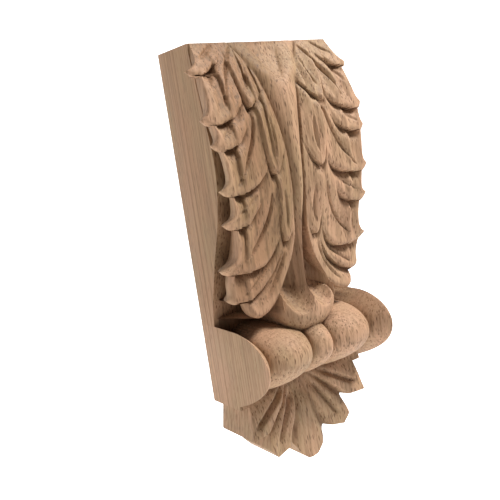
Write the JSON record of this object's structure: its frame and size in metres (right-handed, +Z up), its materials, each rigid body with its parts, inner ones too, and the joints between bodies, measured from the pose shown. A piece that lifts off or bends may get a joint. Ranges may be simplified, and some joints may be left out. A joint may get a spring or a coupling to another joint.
{
  "type": "carved wood corbel applique",
  "caption": "Carved hardwood corbel applique: acanthus leaf over a turned row and a pendant leaf, on a flat back for fixing under a shelf or to a cabinet.",
  "frame": {"origin": "on the flat back, on the centre line, level with the foot of the slab where the pendant leaf starts", "axes": "+Y out of the flat back towards the wall or cabinet, +Z up the block to its flat top, +X to the right as seen from the front"},
  "size_m": [0.0742, 0.0391, 0.1645],
  "materials": {
    "pale_wood": "bare, sanded, matt pale hardwood with short dark pores and vertical grain"
  },
  "bodies": {
    "root": {"carved_corbel": "pale_wood"}
  },
  "joints": []
}
